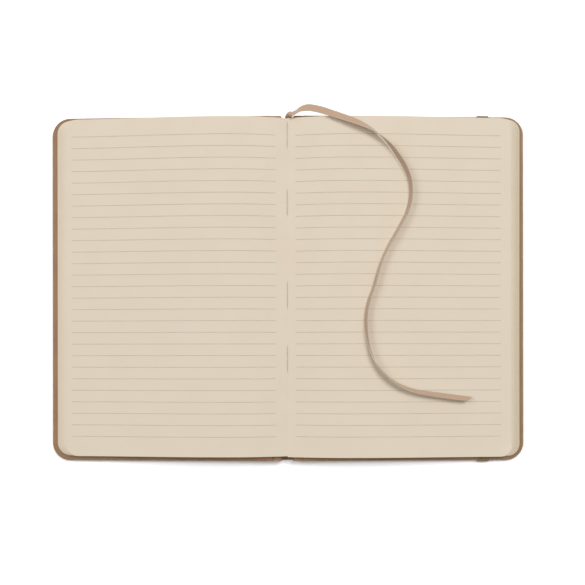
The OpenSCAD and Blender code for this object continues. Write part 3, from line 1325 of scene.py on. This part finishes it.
@dataclass(frozen=True)
class PageStack:
    """One half of the sheets, each a leaf of its own that runs up out of the spine."""

    side: Side
    leaves: int = 46
    leaf_t: float = 0.085
    gathering: int = 8
    inner_step: float = 0.3
    fan_power: float = 0.85
    fan_from: float = 60.0
    fan_run: float = 80.0
    slip: float = 0.08
    skew: float = 0.0012
    jog: float = 0.06
    root_steps: int = 9
    out_steps: int = 110
    joined_at: float = 12.0
    corner: float = 7.3
    lean: float = 0.0
    slide: float = 0.0
    grow: float = 0.0
    curl: float = 0.5
    curl_reach: float = 9.0
    curl_fade: float = 0.8
    seed: int = 7

    def edge_line(self, bottom: bool) -> Points:
        """Draw the top or bottom leaf's section, from the spine to its fore edge.

        Args:
            bottom: True for the lowest leaf, False for the top one.

        Returns:
            The section's points, as x and z.
        """
        b = BUILD
        fore = (b.low_fore if bottom else b.top_fore) + self.lean
        share = np.linspace(0, 1, self.out_steps + 1)[1:] ** 1.1
        s = self.joined_at + (fore - self.joined_at) * share
        if bottom:
            t = np.linspace(0, 1, 2 * self.root_steps)
            z_join = float(b.under_z(self.side, np.array([self.joined_at]))[0])
            corners = np.array(
                [
                    [b.root_half - 0.2, b.root_z + 0.1],
                    [b.root_half - 0.2, 9.0],
                    [7.0, z_join],
                    [self.joined_at, z_join],
                ]
            )
            weights = np.stack([(1 - t) ** 3, 3 * t * (1 - t) ** 2, 3 * t**2 * (1 - t), t**3], 1)
            root = weights @ corners
            z = b.under_z(self.side, s)
        else:
            up = np.linspace(b.root_z + 0.1, b.gutter_z, self.root_steps)
            rise = np.stack([np.full_like(up, 0.004), up], 1)
            out = np.linspace(0, 1, self.root_steps + 1)[1:] ** 1.5 * self.joined_at
            root = np.vstack([rise, np.stack([out, b.page_z(self.side, out)], 1)])
            z = b.page_z(self.side, s)
        return np.vstack([root, np.stack([s, z], 1)])

    def leaf_line(self, leaf: int) -> Points:
        """Draw a leaf's section. The fan at the fore edge steps at each gathering's end.

        Args:
            leaf: The leaf's number from the top.

        Returns:
            The section's points, as x and z.
        """
        level = leaf / (self.leaves - 1)
        top, bottom = self.edge_line(False), self.edge_line(True)
        line = top + (bottom - top) * level
        last, place = divmod(self.leaves - 1, self.gathering)
        most = last + self.inner_step * place / self.gathering
        which, inside = divmod(leaf, self.gathering)
        share = (which + self.inner_step * inside / self.gathering) / most
        outer = smooth((line[:, 0] - self.fan_from) / self.fan_run)
        line[:, 0] += outer * BUILD.fan * (share**self.fan_power - level)
        return line

    def curled(self, points: Points, leaf: int, amount: float) -> Points:
        """Lift a leaf's tail corner a little.

        Args:
            points: The bent leaf's points, with X measured from the gutter.
            leaf: The leaf's number from the top.
            amount: The lift at the corner in millimetres.

        Returns:
            The points with the corner lifted.
        """
        fore = points[:, 0].max()
        out = smooth((points[:, 0] - fore) / self.curl_reach + 1)
        down = smooth((BUILD.tail_y - points[:, 1]) / self.curl_reach + 1)
        lifted = points.copy()
        lifted[:, 2] += amount * self.curl_fade**leaf * out * down
        return lifted

    def pattern(self) -> bpy.types.Object:
        """Lay out one flat leaf with rounded fore corners, ready to bend.

        Returns:
            The flat leaf.
        """
        long = line_length(self.leaf_line(0))
        # The cuts are closest where the leaf turns out of the spine, and at its corners.
        root = [2.4, 4.9, 6.6, 7.15, 7.3, 7.45, 7.9, 8.6, 10, 12, 15, 18, 21]
        out = [*np.linspace(21, long - 9, 27)[1:], *(long - np.array([7.5, 6.0, 4.5, 3.0, 1.5]))]
        low = BUILD.tail_y + np.array([1.5, 3.0, 4.5, 6.0, 7.5, 9.0])
        cuts_y = [*low, *np.linspace(BUILD.tail_y, BUILD.head_y, 11)[2:-1]]
        return flat_sheet(
            "leaf pattern", long, BUILD.tail_y, BUILD.head_y, [*root, *out], cuts_y, self.corner
        )

    def build(self, material: bpy.types.Material) -> bpy.types.Object:
        """Make the half's sheets.

        Args:
            material: The paper.

        Returns:
            The sheets as one piece.
        """
        rng = np.random.default_rng(self.seed + self.side.value)
        flat = self.pattern()
        points = read_points(flat)
        long = points[:, 0].max()
        sheets = []
        for k in range(self.leaves):
            line = self.leaf_line(k)
            at = along_polyline(line, points[:, 0] / long)
            sheet = copy_of(flat)
            out = smooth((points[:, 0] - self.fan_from) / self.fan_run)
            slip = rng.normal(0, self.slip) if k else 0.0
            skew = rng.normal(0, self.skew) if k else 0.0
            jog = rng.normal(0, self.jog) if k else 0.0
            x = at[:, 0] + out * (slip + skew * points[:, 1])
            y = points[:, 1] * (1 + self.grow) + self.slide + jog
            bent = self.curled(np.stack([x, y, at[:, 1]], 1), k, self.curl)
            write_points(sheet, bent * (self.side.value, 1, 1))
            sheets.append(sheet)
        drop(flat)
        stack = join(sheets, f"{self.side.label}_sheets")
        thicken(stack, self.leaf_t, -self.side.value)
        shade(stack, 40)
        dress(stack, f"{self.side.label}_sheets", material, "pages")
        return stack


@dataclass(frozen=True)
class Ruling:
    """The printed lines of one page, each a thin strip on the top sheet."""

    side: Side
    count: int = 27
    pitch: float = 7.0
    head_margin: float = 10.6
    length: float = 124.3
    start: float = 6.0
    width: float = 0.35
    lift: float = 0.045
    ink_t: float = 0.02
    strips: int = 37

    def build(self, material: bpy.types.Material) -> bpy.types.Object:
        """Print the page's lines.

        Args:
            material: The ink.

        Returns:
            The lines as one piece.
        """
        cuts = inner_cuts(0, self.length, self.strips)
        flat = flat_sheet("line pattern", self.length, -self.width / 2, self.width / 2, cuts)
        points = read_points(flat)
        first = BUILD.head_y - self.head_margin
        lines = []
        for k in range(self.count):
            line = copy_of(flat)
            s = self.start + points[:, 0]
            z = BUILD.page_z(self.side, s) + self.lift
            y = points[:, 1] + first - k * self.pitch
            write_points(line, np.stack([self.side.value * s, y, z], 1))
            lines.append(line)
        drop(flat)
        page = join(lines, f"{self.side.label}_ruling")
        thicken(page, self.ink_t, 0.0)
        face_outwards(page)
        dress(page, f"{self.side.label}_ruling", material, "pages")
        return page


@dataclass(frozen=True)
class Sewing:
    """The thread that shows in the gutter, two plies twisted together."""

    stitches: tuple[float, ...] = (10.0, 51.0, 107.0, 145.5)
    length: float = 18.5
    ply_d: float = 0.21
    twist: float = 2.4
    proud: float = 0.28
    dip: float = 0.9
    steps: int = 80

    def build(self, material: bpy.types.Material) -> bpy.types.Object:
        """Sew the middle of the book.

        Args:
            material: The thread.

        Returns:
            The stitches as one piece.
        """
        parts = []
        for middle in self.stitches:
            for ply in (0.0, math.pi):
                parts.append(self.ply(BUILD.head_y - middle, ply))
        thread = join(parts, "gutter_thread")
        shade(thread, 60)
        dress(thread, "gutter_thread", material, "pages")
        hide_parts("sewing_thread")
        return thread

    def ply(self, y: float, phase: float) -> bpy.types.Object:
        """Lay one ply of one stitch, diving into the fold at both ends.

        Args:
            y: The stitch's middle.
            phase: Where the ply starts round the thread, in radians.

        Returns:
            The ply.
        """
        t = np.linspace(-1, 1, self.steps + 1)
        angle = phase + math.pi * self.length * t / self.twist
        radius = self.ply_d * 0.5
        base = BUILD.gutter_z + self.proud - self.dip * np.abs(t) ** 8
        line = np.stack(
            [radius * np.cos(angle), y + t * self.length / 2, base + radius * np.sin(angle)], 1
        )
        data = bpy.data.curves.new("ply", "CURVE")
        data.dimensions = "3D"
        data.bevel_depth = self.ply_d * MM / 2
        data.bevel_resolution = 2
        data.use_fill_caps = True
        spline = data.splines.new("POLY")
        spline.points.add(len(line) - 1)
        for point, place in zip(spline.points, line * MM):
            point.co = (*place, 1)
        obj = bpy.data.objects.new("ply", data)
        bpy.context.scene.collection.objects.link(obj)
        pick(obj)
        bpy.ops.object.convert(target="MESH")
        return bpy.context.object


@dataclass(frozen=True)
class Cover:
    """One half of the case: the covered board, its fold at the hinge and the endpaper's fold."""

    side: Side
    edge_r: float = 0.75
    trim: float = 0.05
    crease_t: float = 0.12

    def panel(self, material: bpy.types.Material) -> bpy.types.Object:
        """Make the covered board with rounded corners and soft edges.

        Args:
            material: The covering.

        Returns:
            The covered board.
        """
        b = BUILD
        panel = flat_sheet(
            "panel", b.board_w, -b.cover_h / 2, b.cover_h / 2, (), (), b.cover_r
        )
        pick(panel)
        bpy.ops.object.mode_set(mode="EDIT")
        bpy.ops.mesh.select_all(action="SELECT")
        bpy.ops.mesh.extrude_region_move(
            TRANSFORM_OT_translate={"value": (0, 0, b.cover_t * MM)}
        )
        bpy.ops.object.mode_set(mode="OBJECT")
        soften_edges(panel, self.edge_r, segments=4, angle=50)
        frame_flat_faces(panel, width=0.5)
        panel.data.transform(b.cover_matrix(self.side))
        face_outwards(panel)
        shade(panel, 30)
        dress(
            panel, f"{self.side.label}_covering", material, self.side.cover_body
        )
        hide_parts(f"{self.side.label}_cover_skin")
        return panel

    def fold(self, material: bpy.types.Material) -> bpy.types.Object:
        """Make the covering that bends between the spine and the board.

        Args:
            material: The covering.

        Returns:
            The fold.
        """
        b = BUILD
        z = b.flange_z + b.skin_t / 2
        corners = np.array(
            [
                [b.spine_half + 0.25, z - 1.8],
                [b.spine_half + 0.38, z - 0.2],
                [b.spine_half + 0.8, z + 0.8],
                [5.3, z + 1.3],
                [7.2, z + 1.35],
                [8.9, z + 1.1],
                [b.spine_reach + 1.1, b.board_lift + 0.9],
            ]
        )
        line = curve_through(corners, 6)
        long = line_length(line)
        half = b.cover_h / 2
        rows = inner_cuts(-half, half, 8)
        strip = flat_sheet(
            "fold", long, -half + self.trim, half - self.trim, inner_cuts(0, long, 29), rows
        )
        bend_along(strip, line, self.side.value)
        close_sheet(strip, b.skin_t)
        name = f"{self.side.label}_hinge_fold"
        dress(strip, name, material, None)
        self.bend(strip)
        return strip

    def endpaper_fold(self, material: bpy.types.Material) -> bpy.types.Object:
        """Make the endpaper's crease between the board's inner face and the lowest sheet.

        Args:
            material: The endpaper.

        Returns:
            The crease.
        """
        b = BUILD
        z = float(b.board_z(np.array([b.spine_reach + 2.0]))[0])
        corners = np.array(
            [[4.3, 6.6], [5.4, 7.25], [7.5, z - 0.35], [9.6, z + 0.06], [13.0, z + 0.02]]
        )
        line = curve_through(corners, 5)
        long = line_length(line)
        strip = flat_sheet(
            "crease", long, b.tail_y + 0.3, b.head_y - 0.3, inner_cuts(0, long, 19)
        )
        bend_along(strip, line, self.side.value)
        close_sheet(strip, self.crease_t)
        dress(strip, f"{self.side.label}_endpaper_fold", material, None)
        self.bend(strip)
        return strip

    def bend(self, strip: bpy.types.Object) -> None:
        """Bake a strip's placement into its mesh.

        Args:
            strip: The strip, which rides on no body of its own.
        """
        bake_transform(strip)


@dataclass(frozen=True)
class Spine:
    """The middle of the covering, folded into a valley that rests on the table."""

    def build(self, material: bpy.types.Material) -> bpy.types.Object:
        """Make the valley from one hinge fold to the other.

        Args:
            material: The covering.

        Returns:
            The valley.
        """
        b = BUILD
        mid = b.skin_t / 2
        right = [
            [b.spine_half * 0.55, mid],
            [b.spine_half - 0.55, mid + 0.05],
            [b.spine_half - 0.12, mid + 0.5],
            [b.spine_half + 0.05, 2.2],
            [b.spine_half + 0.25, b.flange_z - 1.5],
            [b.spine_half + 0.36, b.flange_z - 0.4],
        ]
        left = [[-x, z] for x, z in reversed(right)]
        line = curve_through(np.array([*left, [0, mid], *right]), 6)
        long = line_length(line)
        half = b.cover_h / 2
        strip = flat_sheet("valley", long, -half, half, inner_cuts(0, long, 45))
        bend_along(strip, line)
        close_sheet(strip, b.skin_t)
        dress(strip, "spine_covering", material, "pages")
        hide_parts("spine_skin")
        return strip


@dataclass(frozen=True)
class ElasticBand:
    """The closure band, down the outside of the back cover and round its head and tail."""

    width: float = 7.0
    thickness: float = 0.8
    inset: float = 25.0
    tuck: float = 12.0
    cords: int = 7
    fine_past: float = 6.0
    coarse_every: int = 8

    def build(self, material: bpy.types.Material) -> bpy.types.Object:
        """Make the band.

        Args:
            material: Its weave.

        Returns:
            The band.
        """
        b = BUILD
        half, mid = b.cover_h / 2, self.thickness / 2
        inside = b.cover_t + b.pastedown_t - mid
        end = [
            [half - self.tuck, inside],
            [half - 1.2, inside],
            [half - 0.1, inside - 0.12],
            [half + mid, inside - 0.75],
            [half + mid, 0.35],
            [half - 0.1, -mid + 0.08],
            [half - 1.2, -mid],
        ]
        tail_end = curve_through(np.array([[-y, z] for y, z in end]), 6)
        head_end = curve_through(np.array(list(reversed(end))), 6)
        line = np.vstack([tail_end, head_end])
        long = line_length(line)
        reach = self.tuck + self.fine_past
        fine = inner_cuts(0, long, 259)
        at_ends = [min(cut, long - cut) < reach for cut in fine]
        cuts = [c for k, c in enumerate(fine) if at_ends[k] or k % self.coarse_every == 0]
        rows = inner_cuts(-self.width / 2, self.width / 2, 4 * self.cords)
        band = flat_sheet("band", long, -self.width / 2, self.width / 2, cuts, rows)
        points = read_points(band)
        at = along_polyline(line, points[:, 0] / long)
        x = b.board_w - self.inset + points[:, 1]
        write_points(band, np.stack([x, at[:, 0], at[:, 1]], 1))
        thicken(band, self.thickness, 0.0)
        soften_edges(band, width=0.2, segments=2, angle=60)
        band.data.transform(b.cover_matrix(Side.BACK))
        face_outwards(band)
        shade(band, 50)
        dress(band, "closure_elastic", material, Side.BACK.cover_body)
        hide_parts("elastic_band")
        return band


def dress_cad_nodes(frame: dict, palette: Palette) -> None:
    """Give every CAD node that stays in view its finish.

    Args:
        frame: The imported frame.
        palette: The finishes.
    """
    finishes = {
        "front_board": palette.board,
        "back_board": palette.board,
        "spine_inlay": palette.board,
        "spine_lining": palette.thread,
        "front_pastedown": palette.endpaper,
        "back_pastedown": palette.endpaper,
    }
    for name, material in finishes.items():
        node = frame["nodes"][name]
        for slot in node.material_slots:
            slot.material = material
        log.info("%s keeps its CAD shape", name)


def main() -> None:
    """Build the notebook around its frame."""
    logging.basicConfig(level=logging.INFO, format="%(name)s: %(message)s")
    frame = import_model()
    bpy.context.scene.view_settings.view_transform = "Standard"
    PhotoCamera().place()
    palette = Palette()
    Ribbon().build(palette.ribbon)

    lean = {Side.FRONT: -0.25, Side.BACK: 0.72}
    slide = {Side.FRONT: 0.0, Side.BACK: -0.2}
    curl = {Side.FRONT: 0.35, Side.BACK: 1.1}
    grow = {Side.FRONT: 0.0, Side.BACK: 0.0036}
    stacks = [
        PageStack(
            side, lean=lean[side], slide=slide[side], grow=grow[side], curl=curl[side]
        ).build(palette.page)
        for side in Side
    ]
    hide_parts("page_block")
    starts = {Side.FRONT: 7.0, Side.BACK: 5.0}
    lines = [Ruling(side, start=starts[side]).build(palette.ink) for side in Side]
    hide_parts("page_ruling")
    Sewing().build(palette.thread)
    Spine().build(palette.covering)
    for side in Side:
        cover = Cover(side)
        cover.panel(palette.covering)
        cover.fold(palette.covering)
        cover.endpaper_fold(palette.endpaper)
    ElasticBand().build(palette.elastic)
    dress_cad_nodes(frame, palette)

    studio = Studio()
    studio.floor()
    studio.lamps()


if __name__ == "__main__":
    main()
